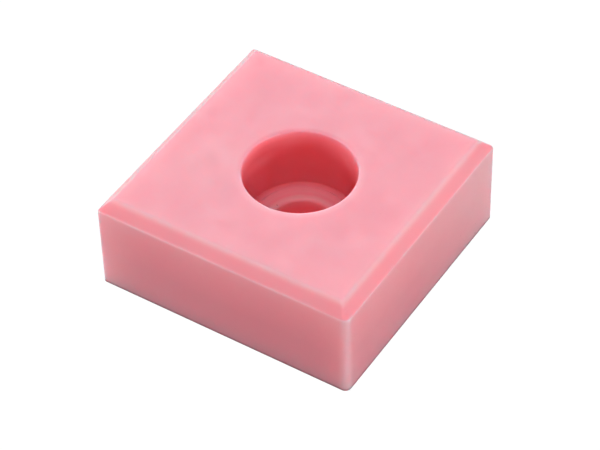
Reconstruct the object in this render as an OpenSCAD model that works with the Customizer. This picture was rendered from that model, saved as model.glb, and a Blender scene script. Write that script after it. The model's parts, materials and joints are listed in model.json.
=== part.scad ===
// Soft resin casting mould: a bevelled square block with a round well, and a ring insert that
// makes the well's floor.
// Millimetres, +Z up, origin at the centre of the base.

/* [Block] */
// Length of the block along X
block_x = 86; // [78:1:110]
// Width of the block along Y
block_y = 84; // [78:0.5:110]
// Height of the block
block_h = 33.5; // [33.5:0.5:50]
// Width and drop of the bevel round the top face
bevel = 3.7; // [2.5:0.1:5]
// Radius of the upright edge at the +X -Y corner, which is rounder than the others
front_edge_r = 2; // [0.5:0.1:2.4]
// Radius of the other three upright edges
edge_r = 1; // [0.5:0.1:2.4]

/* [Well] */
// Diameter of the casting well
well_d = 34.6; // [33:0.2:42]
// Depth of the well, from the top face to its floor
well_depth = 21.1; // [12:0.1:21.2]
// Well centre from the block centre along X
well_x = 1.1; // [-3:0.1:3]
// Well centre from the block centre along Y
well_y = -0.3; // [-3:0.1:3]
// Radius of the rounded rim at the mouth of the well
rim_r = 0.5; // [0.3:0.1:2]

/* [Floor insert] */
// Outside diameter of the ring insert
insert_d = 30.4; // [27:0.2:31]
// Height of the ring insert
insert_h = 7.8; // [5:0.2:7.8]
// Diameter of the hole through the insert, where the casting's spigot forms
spigot_d = 19.2; // [18:0.2:20]
// Radius of the rounded lip of that hole
lip_r = 1; // [0.2:0.1:1.2]
// Distance between the turned rings on the insert's top face
ring_pitch = 2; // [1.8:0.1:2.2]
// Depth of each turned ring
ring_depth = 0.12; // [0.05:0.01:0.3]

/* [Fit] */
// Gap all round between the insert and the block
gap = 0.1; // [0.08:0.01:0.2]

/* [Hidden] */
$fn = 96;

floor_z = block_h - well_depth;
web_h = floor_z - insert_h;
// Radii of the upright edges, counterclockwise from the +X +Y corner
corner_radii = [edge_r, edge_r, edge_r, front_edge_r];
// How far a cutter reaches past the surface that it opens
over = 1;
// Rings that fit between the insert's edge and the lip of its hole
ring_count = floor(((insert_d - spigot_d) / 2 - lip_r) / ring_pitch - 0.04);

// Puts its children on the well's axis at height z
module on_axis(z) {
  translate([well_x, well_y, z]) children();
}

// Outline of the block seen from one side: upright sides and two 45 degree bevels
module bevelled_outline(w) {
  polygon([
    [-w / 2, 0], [w / 2, 0], [w / 2, block_h - bevel], [w / 2 - bevel, block_h],
    [bevel - w / 2, block_h], [-w / 2, block_h - bevel]
  ]);
}

// What a corner of radius r leaves off a square one, in the first quadrant
module corner_sliver(r) {
  difference() {
    square(r + over);
    circle(r = r);
  }
}

// Plan of the block, a rectangle with rounded corners
module rounded_plan() {
  difference() {
    square([block_x, block_y], center = true);
    for (i = [0 : 3]) {
      half = i % 2 == 0 ? [block_x / 2, block_y / 2] : [block_y / 2, block_x / 2];
      r = corner_radii[i];
      rotate(90 * i) translate([half.x - r, half.y - r]) corner_sliver(r);
    }
  }
}

module outer_block() {
  intersection() {
    linear_extrude(block_h) rounded_plan();
    rotate([90, 0, 0]) linear_extrude(block_y + 2 * over, center = true) bevelled_outline(block_x);
    rotate([90, 0, 90]) linear_extrude(block_x + 2 * over, center = true) bevelled_outline(block_y);
  }
}

// Cutter that rounds the edge of a round hole of radius r, in a face at z = 0
module edge_rounder(r, fillet) {
  rotate_extrude() difference() {
    translate([r - over, -fillet]) square([fillet + over, fillet + over]);
    translate([r + fillet, -fillet]) circle(r = fillet);
    translate([r - over, -fillet - over]) square([fillet + 2 * over, over]);
  }
}

// The block, with the well and the insert's seat down one axis
module mould_block() {
  color([0.96, 0.65, 0.70]) difference() {
    outer_block();
    on_axis(floor_z) cylinder(h = well_depth + over, d = well_d);
    on_axis(block_h) edge_rounder(well_d / 2, rim_r);
    on_axis(web_h) cylinder(h = insert_h + over, d = insert_d + 2 * gap);
  }
}

// The ring that stands on the web of the block and makes the floor of the well
module floor_insert() {
  color([0.86, 0.44, 0.50]) difference() {
    on_axis(web_h) cylinder(h = insert_h, d = insert_d);
    on_axis(web_h - over) cylinder(h = insert_h + 2 * over, d = spigot_d);
    on_axis(floor_z) edge_rounder(spigot_d / 2, lip_r);
    for (i = [1 : ring_count])
      on_axis(floor_z) rotate_extrude() translate([insert_d / 2 - i * ring_pitch, 0])
        circle(r = ring_depth);
  }
}

mould_block();
floor_insert();
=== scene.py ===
"""Looks of the soft resin casting mould: a bevelled pink silicone block with a round well,
and the turned ring insert that makes the well's floor."""

import json
import math

import bmesh
import bpy
from mathutils import Matrix, Vector


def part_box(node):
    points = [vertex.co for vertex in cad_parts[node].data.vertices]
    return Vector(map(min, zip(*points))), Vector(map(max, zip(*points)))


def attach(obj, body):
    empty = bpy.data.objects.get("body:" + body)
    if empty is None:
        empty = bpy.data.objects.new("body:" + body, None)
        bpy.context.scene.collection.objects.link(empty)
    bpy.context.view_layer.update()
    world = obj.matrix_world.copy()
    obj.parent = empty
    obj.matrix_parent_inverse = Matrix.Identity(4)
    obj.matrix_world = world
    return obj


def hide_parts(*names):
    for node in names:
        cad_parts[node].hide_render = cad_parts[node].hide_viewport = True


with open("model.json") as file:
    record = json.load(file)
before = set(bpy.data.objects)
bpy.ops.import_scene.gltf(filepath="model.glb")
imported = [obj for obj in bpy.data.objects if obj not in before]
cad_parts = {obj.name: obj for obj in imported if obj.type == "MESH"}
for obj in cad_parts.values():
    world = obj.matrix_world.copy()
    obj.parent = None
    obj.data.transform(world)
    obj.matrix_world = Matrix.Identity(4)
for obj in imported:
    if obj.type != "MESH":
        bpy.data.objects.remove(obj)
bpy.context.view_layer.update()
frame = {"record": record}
MM = 0.001

# ---------------------------------------------------------------- sizes, from the frame

MOUNTS = {mount["name"]: mount for mount in frame["record"]["mounts"]}
BLOCK_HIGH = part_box("mould_block")[1]
INSERT_LOW, INSERT_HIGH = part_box("floor_insert")

WELL_X, WELL_Y = MOUNTS["casting_well"]["pos_m"][:2]
WELL_R = MOUNTS["casting_well"]["dims"]["r_mm"] * MM
SPIGOT_R = MOUNTS["spigot_recess"]["dims"]["r_mm"] * MM
HALF_X, HALF_Y = BLOCK_HIGH.x, BLOCK_HIGH.y
TOP_Z = BLOCK_HIGH.z
FLOOR_Z = INSERT_HIGH.z
WEB_Z = INSERT_LOW.z
INSERT_R = (INSERT_HIGH.x - INSERT_LOW.x) / 2

# ---------------------------------------------------------------- sizes, shared with the CAD

BEVEL = 3.7 * MM
EDGE_R = 1.0 * MM
FRONT_EDGE_R = 2.0 * MM
RIM_R = 0.5 * MM
LIP_R = 1.0 * MM
RING_PITCH = 2.0 * MM
GAP = 0.1 * MM

# ---------------------------------------------------------------- mesh density

CORNER_STEPS = 12
ARC_STEPS = 6
WIDE_STEP = 2.5 * MM
NEAR_EDGE = [0.25 * MM, 0.8 * MM, 1.5 * MM, 2.5 * MM]


def stations(length):
    """Distances along a straight stretch: close together beside the edges at its two ends,
    where the shading and the painted tone change fastest, and wide apart between them."""
    near = [distance for distance in NEAR_EDGE if distance < length * 0.4]
    if not near:
        return []
    count = max(1, round((length - 2 * near[-1]) / WIDE_STEP))
    middle = [near[-1] + (length - 2 * near[-1]) * i / count for i in range(1, count)]
    return near + middle + [length - distance for distance in reversed(near)]


SIDE = 2 * (HALF_X - EDGE_R)
SIDE_SHARES = [distance / SIDE for distance in stations(SIDE)]
LAND = HALF_X - BEVEL - WELL_R
LAND_SHARES = [distance / LAND for distance in stations(LAND)]
AROUND = 4 * (CORNER_STEPS + 1 + len(SIDE_SHARES))


def rounded(points):
    """A polyline of (across, up, radius) corners, with each corner turned into an arc."""
    path = [points[0][:2]]
    for before, here, after in zip(points, points[1:], points[2:]):
        corner, radius = Vector(here[:2]), here[2]
        to_before = (Vector(before[:2]) - corner).normalized()
        to_after = (Vector(after[:2]) - corner).normalized()
        half_angle = to_before.angle(to_after) / 2
        centre = corner + (to_before + to_after).normalized() * radius / math.sin(half_angle)
        start = corner + to_before * radius / math.tan(half_angle) - centre
        turn = start.angle_signed(corner + to_after * radius / math.tan(half_angle) - centre)
        for step in range(ARC_STEPS + 1):
            angle = -turn * step / ARC_STEPS
            spoke = Vector((
                start.x * math.cos(angle) - start.y * math.sin(angle),
                start.x * math.sin(angle) + start.y * math.cos(angle),
            ))
            path.append(tuple(centre + spoke))
    path.append(points[-1][:2])
    return path


def spaced(path):
    """Adds points along the straight stretches of a path."""
    made = [path[0]]
    for start, end in zip(path, path[1:]):
        start, end = Vector(start), Vector(end)
        length = (end - start).length
        made += [tuple(start.lerp(end, along / length)) for along in stations(length)]
        made.append(tuple(end))
    return made


def square_ring(inset, z):
    """A ring of points round the block's outline, moved in by inset: four quarter circles,
    counterclockwise from the +X +Y corner, with straight stretches between them."""
    arcs = []
    for quarter, (sx, sy, edge_r) in enumerate(
        ((1, 1, EDGE_R), (-1, 1, EDGE_R), (-1, -1, EDGE_R), (1, -1, FRONT_EDGE_R))
    ):
        radius = max(edge_r - 0.3 * inset, 0.5 * MM)
        centre = Vector((sx * (HALF_X - inset - radius), sy * (HALF_Y - inset - radius), z))
        angles = [math.pi / 2 * (quarter + step / CORNER_STEPS) for step in range(CORNER_STEPS + 1)]
        arcs.append([centre + Vector((math.cos(a), math.sin(a), 0)) * radius for a in angles])
    ring = []
    for arc, next_arc in zip(arcs, arcs[1:] + arcs[:1]):
        ring += arc + [arc[-1].lerp(next_arc[0], share) for share in SIDE_SHARES]
    return ring


def circle_ring(radius, z):
    """A ring of points round the well's axis, in step with the points of square_ring."""
    first = math.pi / 4 - math.pi * CORNER_STEPS / AROUND
    angles = [first + 2 * math.pi * i / AROUND for i in range(AROUND)]
    return [
        Vector((WELL_X + radius * math.cos(a), WELL_Y + radius * math.sin(a), z)) for a in angles
    ]


def between(ring_a, ring_b):
    """Rings that pass from one ring to the other, without the two themselves."""
    return [[a.lerp(b, share) for a, b in zip(ring_a, ring_b)] for share in LAND_SHARES]


def skin(name, rings, closed):
    """A quad mesh through rings of points. A closed one joins its last ring to its first, and
    any other gets a small fan over each end."""
    mesh = bmesh.new()
    rows = [[mesh.verts.new(point) for point in ring] for ring in rings]
    pairs = list(zip(rows, rows[1:])) + ([(rows[-1], rows[0])] if closed else [])
    for low, high in pairs:
        for i in range(len(low)):
            j = (i + 1) % len(low)
            mesh.faces.new((low[i], low[j], high[j], high[i]))
    if not closed:
        for row in (rows[0], rows[-1]):
            hub = mesh.verts.new(sum((v.co for v in row), Vector()) / len(row))
            for i in range(len(row)):
                mesh.faces.new((row[i], row[(i + 1) % len(row)], hub))
    bmesh.ops.recalc_face_normals(mesh, faces=mesh.faces)
    data = bpy.data.meshes.new(name)
    mesh.to_mesh(data)
    mesh.free()
    data.shade_smooth()
    piece = bpy.data.objects.new(name, data)
    bpy.context.scene.collection.objects.link(piece)
    return piece


# ---------------------------------------------------------------- pieces


def make_block():
    """The block as one skin, from the middle of its base round the outside, over the bevel,
    across the top, and down the well to the middle of the web under the insert."""
    hub_r = 0.4 * MM
    seat_r = INSERT_R + GAP
    outside = spaced(rounded([
        (3 * MM, 0, 0),
        (0, 0, 0.5 * MM),
        (0, TOP_Z - BEVEL, 1.4 * MM),
        (BEVEL, TOP_Z, 1.8 * MM),
        (BEVEL + 2 * MM, TOP_Z, 0),
    ]))
    inside = spaced(rounded([
        (WELL_R + 2.5 * MM, TOP_Z, 0),
        (WELL_R, TOP_Z, RIM_R),
        (WELL_R, FLOOR_Z, 0.35 * MM),
        (seat_r, FLOOR_Z, 0.15 * MM),
        (seat_r, WEB_Z, 0.1 * MM),
        (hub_r, WEB_Z, 0),
    ]))
    outer_rings = [square_ring(inset, z) for inset, z in outside]
    inner_rings = [circle_ring(radius, z) for radius, z in inside]
    hub = circle_ring(hub_r, 0)
    base = [hub] + between(hub, outer_rings[0])
    top = between(outer_rings[-1], inner_rings[0])
    return skin("silicone_block", base + outer_rings + top + inner_rings, closed=False)


def make_insert():
    """The ring insert, with the shallow scallops that a turning tool leaves on its top face."""
    scallop = 0.09 * MM
    marks_end = SPIGOT_R + LIP_R
    marks = []
    radius = INSERT_R - 0.3 * MM
    while radius > marks_end + 0.1 * MM:
        phase = (INSERT_R - radius) / RING_PITCH % 1
        marks.append((radius, FLOOR_Z - scallop * math.sin(math.pi * phase)))
        radius -= RING_PITCH / 10
    outside = rounded([
        (INSERT_R - 2 * MM, WEB_Z, 0), (INSERT_R, WEB_Z, 0.3 * MM), (INSERT_R, FLOOR_Z, 0.2 * MM),
        (INSERT_R - 0.25 * MM, FLOOR_Z, 0),
    ])
    hole = rounded([
        (marks_end, FLOOR_Z, 0), (SPIGOT_R, FLOOR_Z, LIP_R), (SPIGOT_R, WEB_Z, 0.3 * MM),
        (SPIGOT_R + 1 * MM, WEB_Z, 0),
    ])
    path = spaced(outside)[:-1] + marks + spaced(hole[1:])
    return skin("turned_insert", [circle_ring(r, z) for r, z in path], closed=True)


# ---------------------------------------------------------------- painted tone, with painted light and shade

# The top's rose, a little paler than the bevel and sides: it carries painted sheen.
PAINTED_SHEEN_ROSE = Vector((0.95, 0.357, 0.435))
# Pale pink for painted light: highlights on edges, rim, lip and ring crests, painted sheen, and the
# glow of light through thin silicone.
PAINTED_LIGHT = Vector((1.0, 0.56, 0.60))
FLOOR_ROSE = Vector((1.0, 0.30, 0.38))
SALMON = Vector((0.98, 0.335, 0.385))
# Duskier rose for painted shade towards the foot of the sides, and on the base.
PAINTED_SHADE = Vector((0.84, 0.295, 0.345))
# Near black red for a painted contact shadow along the bottom edges.
PAINTED_CONTACT_SHADOW = Vector((0.32, 0.045, 0.055))
# Deep red for painted shade down the well and the insert's walls.
PAINTED_WELL_SHADE = Vector((0.98, 0.21, 0.25))
# Deeper red for painted shade low in the well, at the floor's edge and over the far rim.
PAINTED_DEEP_SHADE = Vector((0.86, 0.16, 0.195))
# Darkest red for painted shade in a band high on the well's wall towards -X -Y.
PAINTED_DARKEST_SHADE = Vector((0.78, 0.114, 0.15))
FRONT = Vector((1, -1)).normalized()
BACK_LEFT = Vector((-0.83, -0.55))
BLOCK_DEPTH = 12 * MM
FOOT_DEPTH = 5 * MM
LEDGE_DEPTH = 1.6 * MM
INSERT_DEPTH = 0.6 * MM


def fade(distance, reach):
    """1 at no distance, falling smoothly to 0 at reach."""
    share = max(0.0, 1 - abs(distance) / reach)
    return share * share * (3 - 2 * share)


def glow(distance, length):
    """1 at no distance, falling off as light does inside silicone, by 1/e in each length."""
    return math.exp(-abs(distance) / length)


def rising(value, start, end):
    """0 up to start, 1 from end on, and a straight line between them."""
    return min(1.0, max(0.0, (value - start) / (end - start)))


def well_tone(x, y, z):
    """The rim has a painted highlight, most on the side towards the round upright edge, and at the
    opposite side painted shade from the wall spreads a little over it. Below the rim the wall has
    painted shade, darker the further down and darkest in a band high up towards -X -Y, but the
    shaded lower wall towards -X -Y, and a little the one opposite, is painted paler, as painted
    light. Under the insert it has deep painted shade all over, and the base has the painted shade
    of the sides' foot."""
    radius = math.hypot(x - WELL_X, y - WELL_Y)
    # Under the insert: painted shade, duskier at the base and deep above it.
    if z < FLOOR_Z - 0.5 * MM:
        return PAINTED_SHADE.lerp(PAINTED_WELL_SHADE, rising(z, 0, 1 * MM))
    if z < FLOOR_Z + 0.2 * MM and radius < WELL_R - 0.2 * MM:
        return floor_tone(radius)
    away = Vector((x - WELL_X, y - WELL_Y)) / radius
    towards_front = away.dot(FRONT)
    towards_back_left = away.dot(BACK_LEFT)
    below = TOP_Z - z
    # Painted highlight round the rim, most on the side towards the round upright edge.
    rim_highlight = fade(math.hypot(radius - WELL_R - RIM_R, below), 2.4 * MM)
    tone = top_tone(x, y).lerp(PAINTED_LIGHT, max(0.07, 0.2 + 0.27 * towards_front) * rim_highlight)
    # Painted shade from the wall, spreading a little over the far rim.
    rim_painted_shade = fade(max(0, radius - WELL_R - RIM_R), 1.4 * MM) * rising(-towards_front, -0.3, 0.9)
    tone = tone.lerp(PAINTED_DEEP_SHADE, 0.4 * rim_painted_shade)
    # Painted shade down the wall, darker further down, darkest in a band high up towards -X -Y.
    darkest_shade_share = fade(below - 4.5 * MM, 4.5 * MM) * fade(towards_back_left - 0.6, 0.6)
    wall_painted_shade = PAINTED_WELL_SHADE.lerp(PAINTED_DEEP_SHADE, rising(below, 2 * MM, 16 * MM)).lerp(PAINTED_DARKEST_SHADE, darkest_shade_share)
    # Painted light: the shaded lower wall towards -X -Y, and a little the one opposite, is paler.
    painted_light_share = rising(abs(towards_back_left), 0.5, 0.95) * rising(below, 6 * MM, 14 * MM)
    wall_painted_shade = wall_painted_shade.lerp(FLOOR_ROSE, (0.85 if towards_back_left > 0 else 0.25) * painted_light_share)
    # Below the rim the wall's painted shade takes over.
    return tone.lerp(wall_painted_shade, 1 - glow(max(0, below - 0.3 * MM), 1.3 * MM))


def floor_tone(radius):
    """The well's floor: a little painted highlight all over, more on the crests between its turned
    rings and most on the lip, and painted shade at its edge beside the wall.
    """
    crest = (INSERT_R - radius) / RING_PITCH % 1
    # Painted highlight: a little all over the floor, more on the crests, most on the lip.
    ring = 0.1 + 0.1 * fade(min(crest, 1 - crest), 0.4)
    lip_highlight = 0.62 * fade(radius - SPIGOT_R - LIP_R, 2.0 * MM)
    tone = FLOOR_ROSE.lerp(PAINTED_LIGHT, max(ring, lip_highlight))
    # Painted shade at the floor's edge beside the wall.
    return tone.lerp(PAINTED_DEEP_SHADE, rising(radius, 14.5 * MM, WELL_R))


def top_tone(x, y):
    """The top has painted sheen, faintly paler towards -Y and in a soft patch beside the well."""
    # Painted sheen: a soft patch beside the well, and faintly paler towards -Y.
    sheen_patch = 0.2 * fade(math.hypot(x + 25 * MM, y + 10 * MM), 20 * MM)
    return PAINTED_SHEEN_ROSE.lerp(PAINTED_LIGHT, sheen_patch + 0.06 * rising(-y, 5 * MM, 30 * MM))


def bevel_tone(x, y, z):
    """The bevel and the top beside it: painted highlights along both lines of the bevel, fading
    onto the top as a painted glow, and painted light all over the bevel on the two sides where
    light glows through the silicone, -X and +Y."""
    inset_x, inset_y = HALF_X - abs(x), HALF_Y - abs(y)
    inset = min(inset_x, inset_y)
    glowing = x < 0 if inset_x < inset_y else y > 0
    line, beside = (0.5, 0.5) if glowing else (0.75, 0.34)
    # Painted highlight along the bevel's upper line.
    upper_highlight = line * fade(inset - BEVEL + 0.2 * MM, 1.3 * MM)
    # On the top: painted highlight by the line, and a painted glow fading away from the bevel.
    if inset > BEVEL:
        return top_tone(x, y).lerp(PAINTED_LIGHT, max(upper_highlight, beside * glow(inset - BEVEL, 1.8 * MM)))
    # On -X and +Y the whole bevel is painted light, for light glowing through the silicone.
    if glowing:
        return PAINTED_LIGHT
    # Painted highlight along the bevel's lower line.
    lower_highlight = 0.1 * fade(math.hypot(inset, TOP_Z - BEVEL - z), 1.4 * MM)
    return SALMON.lerp(PAINTED_LIGHT, max(upper_highlight, lower_highlight, 0.05))


def side_tone(x, y, z):
    """Painted light towards the top and towards the upright edges, painted shade darkening towards
    the foot, and a painted contact shadow along the bottom edges. The +X side also has painted
    light growing towards its far end."""
    inset_x, inset_y = HALF_X - abs(x), HALF_Y - abs(y)
    along, drop = max(inset_x, inset_y), TOP_Z - BEVEL - z
    front = x > 0 > y
    # Painted highlight by the upright edges, with a band along the round front edge.
    if front:
        edge_highlight = 0.4 * glow(along, 5 * MM) + 0.4 * fade(along - 0.6 * MM, 3 * MM)
    else:
        edge_highlight = 0.8 * glow(along, 7 * MM)
    # Painted light towards the top of the face.
    painted_face_light = 0.3 * glow(drop, 5 * MM) + 0.25 * fade(drop, 2 * MM)
    # Painted light on the +X side, growing towards its far end.
    if x > 0 and inset_x < inset_y:
        lit = 0.18 * rising(y, -38 * MM, -28 * MM) + 0.45 * rising(y, -5 * MM, 40 * MM)
        lit *= 1 - 0.5 * rising(drop, 10 * MM, 24 * MM)
        painted_face_light += lit * (1 - painted_face_light)
    # Painted shade, darker towards the foot.
    tone = SALMON.lerp(PAINTED_SHADE, rising(drop, 1 * MM, 16 * MM))
    # The painted light, by the edges and towards the top.
    tone = tone.lerp(PAINTED_LIGHT, min(1, edge_highlight + painted_face_light * (1 - edge_highlight)))
    # Painted contact shadow along the bottom edges.
    return tone.lerp(PAINTED_CONTACT_SHADOW, 0.9 * fade(math.hypot(min(inset_x, inset_y), z), 1.5 * MM))


def block_tone(x, y, z):
    if math.hypot(x - WELL_X, y - WELL_Y) < WELL_R + 4 * MM:
        return well_tone(x, y, z)
    return side_tone(x, y, z) if z < TOP_Z - BEVEL else bevel_tone(x, y, z)


def insert_tone(x, y, z):
    """Painted highlight on the lip of the hole and on the crests between the turned rings, and
    painted shade deepening down the walls."""
    tone = floor_tone(math.hypot(x - WELL_X, y - WELL_Y))
    # Painted shade deepening down the walls.
    return tone.lerp(PAINTED_WELL_SHADE, rising(FLOOR_Z - z, 0.3 * MM, 3 * MM))


def block_depth(x, y, z):
    """Light spreads far in the block, less along its foot, and least in the thin web and the
    narrow ledge at the bottom of its well."""
    if z < FLOOR_Z + 0.2 * MM and math.hypot(x - WELL_X, y - WELL_Y) < WELL_R:
        return LEDGE_DEPTH
    return FOOT_DEPTH + (BLOCK_DEPTH - FOOT_DEPTH) * rising(z, 0, 3 * MM)


def paint_tone(piece, tone_at):
    """Stores the tone of each point of a piece, worked out from where the point is, painted
    light and shade included.
    """
    layer = piece.data.attributes.new("tone", "FLOAT_COLOR", "POINT")
    for point, cell in zip(piece.data.vertices, layer.data):
        cell.color = (*tone_at(*point.co), 1)


def paint_depth(piece, depth_at):
    """Stores how far light spreads at each point of a piece, in metres."""
    layer = piece.data.attributes.new("depth", "FLOAT", "POINT")
    for point, cell in zip(piece.data.vertices, layer.data):
        cell.value = depth_at(*point.co)


# ---------------------------------------------------------------- materials

CLOUD = (0.99, 0.965, 0.97)
DUST = (0.75, 0.62, 0.62)


def silicone(name, depth):
    """Satin cast silicone. Its painted tone is never quite even: it is cloudy, and has a few
    specks of dust. The surface has a faint orange peel. Depth is how far light spreads inside
    it, in metres, or None where that is painted on the piece."""
    material = bpy.data.materials.new(name)
    material.use_nodes = True
    tree = material.node_tree
    shader = tree.nodes["Principled BSDF"]
    place = tree.nodes.new("ShaderNodeTexCoord")

    def noise(size, detail):
        node = tree.nodes.new("ShaderNodeTexNoise")
        node.inputs["Scale"].default_value = 1 / size
        node.inputs["Detail"].default_value = detail
        tree.links.new(place.outputs["Object"], node.inputs["Vector"])
        return node.outputs["Fac"]

    def mapped(factor, from_min, from_max, to_min, to_max):
        node = tree.nodes.new("ShaderNodeMapRange")
        limits = {"From Min": from_min, "From Max": from_max, "To Min": to_min, "To Max": to_max}
        for key, value in limits.items():
            node.inputs[key].default_value = value
        tree.links.new(factor, node.inputs["Value"])
        return node.outputs["Result"]

    def tinted(factor, colour, tint):
        """The colour, multiplied by the tint as much as the factor says."""
        node = tree.nodes.new("ShaderNodeMix")
        node.data_type = "RGBA"
        node.blend_type = "MULTIPLY"
        tree.links.new(factor, node.inputs["Factor"])
        tree.links.new(colour, node.inputs[6])
        node.inputs[7].default_value = (*tint, 1)
        return node.outputs[2]

    tone = tree.nodes.new("ShaderNodeAttribute")
    tone.attribute_name = "tone"
    cloudy = tinted(mapped(noise(30 * MM, 2), 0.35, 0.65, 0, 1), tone.outputs["Color"], CLOUD)
    dusty = tinted(mapped(noise(1.3 * MM, 0), 0.9, 0.92, 0, 1), cloudy, DUST)
    tree.links.new(dusty, shader.inputs["Base Color"])
    tree.links.new(mapped(noise(6 * MM, 4), 0.3, 0.7, 0.36, 0.46), shader.inputs["Roughness"])
    peel = tree.nodes.new("ShaderNodeBump")
    peel.inputs["Strength"].default_value = 0.25
    peel.inputs["Distance"].default_value = 0.04 * MM
    tree.links.new(noise(0.9 * MM, 3), peel.inputs["Height"])
    tree.links.new(peel.outputs["Normal"], shader.inputs["Normal"])
    shader.inputs["IOR"].default_value = 1.41
    shader.inputs["Subsurface Weight"].default_value = 1
    shader.inputs["Subsurface Radius"].default_value = (1, 0.25, 0.3)
    if depth is None:
        painted = tree.nodes.new("ShaderNodeAttribute")
        painted.attribute_name = "depth"
        tree.links.new(painted.outputs["Fac"], shader.inputs["Subsurface Scale"])
    else:
        shader.inputs["Subsurface Scale"].default_value = depth
    return material


block, insert = make_block(), make_insert()
paint_depth(block, block_depth)

for piece, node, body, slot, tone_at, depth in (
    (block, "mould_block", "mould", "block_silicone", block_tone, None),
    (insert, "floor_insert", "insert", "insert_silicone", insert_tone, INSERT_DEPTH),
):
    paint_tone(piece, tone_at)
    piece.data.materials.append(silicone(slot, depth))
    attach(piece, body)
    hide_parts(node)

# ---------------------------------------------------------------- stage


def make_floor():
    """A white sheet, lit evenly enough to show no edge or corner anywhere. It sends no light
    back onto the block's sides."""
    half = 3.0
    below = -0.02 * MM
    mesh = bmesh.new()
    mesh.faces.new([mesh.verts.new((sx * half, sy * half, below)) for sx, sy in
                    ((-1, -1), (1, -1), (1, 1), (-1, 1))])
    data = bpy.data.meshes.new("studio_floor")
    mesh.to_mesh(data)
    mesh.free()
    floor = bpy.data.objects.new("studio_floor", data)
    floor.visible_diffuse = False
    floor.visible_glossy = False
    floor.visible_transmission = False
    bpy.context.scene.collection.objects.link(floor)
    material = bpy.data.materials.new("white_floor")
    material.use_nodes = True
    shader = material.node_tree.nodes["Principled BSDF"]
    shader.inputs["Base Color"].default_value = (0.02, 0.02, 0.02, 1)
    shader.inputs["Roughness"].default_value = 0.9
    shader.inputs["Emission Color"].default_value = (1, 1, 1, 1)
    shader.inputs["Emission Strength"].default_value = 1
    data.materials.append(material)


def softbox(name, azimuth, elevation, size, power, mirrored=True):
    """A square area light turned towards the block, 1.6 m from it. Azimuth 0 is on the -Y side
    and 90 on the +X side, in degrees. One that isn't mirrored lights the silicone without
    showing as a highlight along its edges."""
    around, up = math.radians(azimuth), math.radians(elevation)
    towards = Vector((
        math.sin(around) * math.cos(up), -math.cos(around) * math.cos(up), math.sin(up),
    ))
    light = bpy.data.lights.new(name, "AREA")
    light.size = size
    light.energy = power
    lamp = bpy.data.objects.new(name, light)
    lamp.location = towards * 1.6
    lamp.rotation_mode = "QUATERNION"
    lamp.rotation_quaternion = towards.to_track_quat("Z", "Y")
    lamp.visible_camera = False
    lamp.visible_glossy = mirrored
    bpy.context.scene.collection.objects.link(lamp)


def make_camera():
    """A long lens from 0.75 m, above the near corner, held with a slight tilt to one side."""
    azimuth, elevation, roll = map(math.radians, (33.47, 45.07, -1.58))
    distance, target = 0.7535, Vector((3.87, -5.22, 16.74)) * MM
    back = Vector((
        math.sin(azimuth) * math.cos(elevation), -math.cos(azimuth) * math.cos(elevation),
        math.sin(elevation),
    ))
    data = bpy.data.cameras.new("camera")
    data.sensor_width = 36
    data.lens = 152.1
    camera = bpy.data.objects.new("camera", data)
    camera.location = target + back * distance
    camera.rotation_mode = "QUATERNION"
    camera.rotation_quaternion = back.to_track_quat("Z", "Y") @ Matrix.Rotation(
        roll, 3, "Z").to_quaternion()
    bpy.context.scene.collection.objects.link(camera)
    bpy.context.scene.camera = camera


def make_world():
    """A white surround that only the camera sees: the softboxes do all the lighting."""
    world = bpy.data.worlds.new("studio")
    world.use_nodes = True
    backdrop = world.node_tree.nodes["Background"]
    backdrop.inputs["Color"].default_value = (1, 1, 1, 1)
    backdrop.inputs["Strength"].default_value = 1
    seen_by = world.cycles_visibility
    seen_by.diffuse = seen_by.glossy = seen_by.transmission = seen_by.scatter = False
    bpy.context.scene.world = world


make_floor()
make_camera()
make_world()
softbox("right_low", 90, 8, 0.7, 23.3)
softbox("left_low", 315, 8, 0.7, 22.6)
softbox("back_low", 205, 8, 0.7, 19.4, mirrored=False)
softbox("far_left_low", 270, 10, 0.7, 4, mirrored=False)
softbox("back_right_low", 150, 10, 0.7, 2.2)
softbox("back_key", 213, 45, 0.7, 9.6)
softbox("front_high", 30, 60, 0.8, 9.6)
bpy.context.scene.view_settings.view_transform = "Standard"
